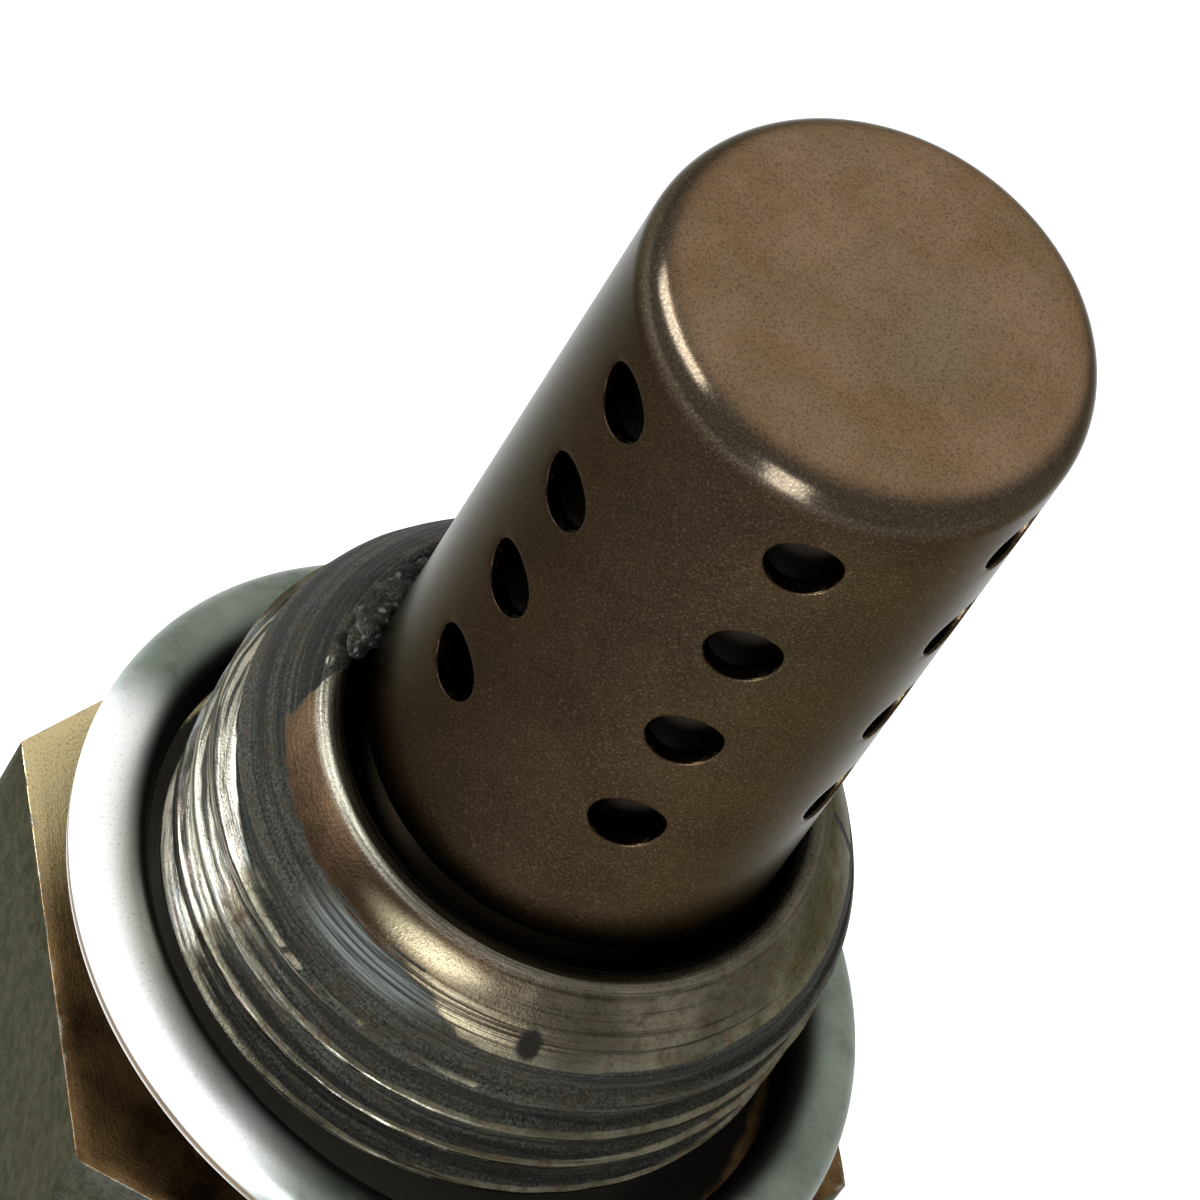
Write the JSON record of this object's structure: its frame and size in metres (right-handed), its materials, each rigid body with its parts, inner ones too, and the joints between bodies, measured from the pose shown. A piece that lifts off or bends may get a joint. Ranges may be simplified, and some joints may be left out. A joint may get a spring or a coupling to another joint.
{
  "type": "oxygen sensor",
  "caption": "Heated exhaust oxygen sensor with threaded hexagonal shell, loose sealing ring, pierced double protection tube and stepped rear sleeve closed by a rubber grommet.",
  "frame": {"origin": "on the sensor's axis, in the plane of the hexagon's front shoulder, where the sealing ring bears", "axes": "+Z along the axis towards the closed end of the protection tube; +X through a corner of the hexagon; the wire passages leave along -Z"},
  "size_m": [0.0254, 0.0233, 0.0904],
  "materials": {
    "shell_steel": "worn turned stainless steel with dark assembly paste on the thread",
    "ring_steel": "satin zinc-grey sheet steel",
    "tube_steel": "heat-tinted stainless steel, bronze brown",
    "inner_tube_steel": "heat-tinted stainless steel",
    "zirconia": "matt sintered zirconia",
    "washer_nickel": "soft nickel",
    "talc": "pressed powder",
    "steatite": "matt steatite",
    "spring_steel": "bright spring steel",
    "alumina": "matt alumina",
    "contact_nickel": "nickel-plated contact sheet",
    "sleeve_steel": "drawn stainless steel",
    "membrane": "porous fluoropolymer",
    "grommet_rubber": "matt fluororubber"
  },
  "bodies": {
    "root": {"hex_shell": "shell_steel", "sealing_ring": "ring_steel", "outer_protection_tube": "tube_steel", "inner_protection_tube": "inner_tube_steel", "sensing_element": "zirconia", "seat_washer": "washer_nickel", "powder_packing": "talc", "ceramic_bush": "steatite", "packing_ring": "spring_steel", "heater_rod": "alumina", "outer_contact": "contact_nickel", "inner_contact": "contact_nickel", "heater_terminal_a": "contact_nickel", "heater_terminal_b": "contact_nickel", "contact_holder": "steatite", "holder_spring": "spring_steel", "rear_sleeve": "sleeve_steel", "vent_membrane": "membrane", "vent_sleeve": "sleeve_steel", "cable_grommet": "grommet_rubber"}
  },
  "joints": []
}
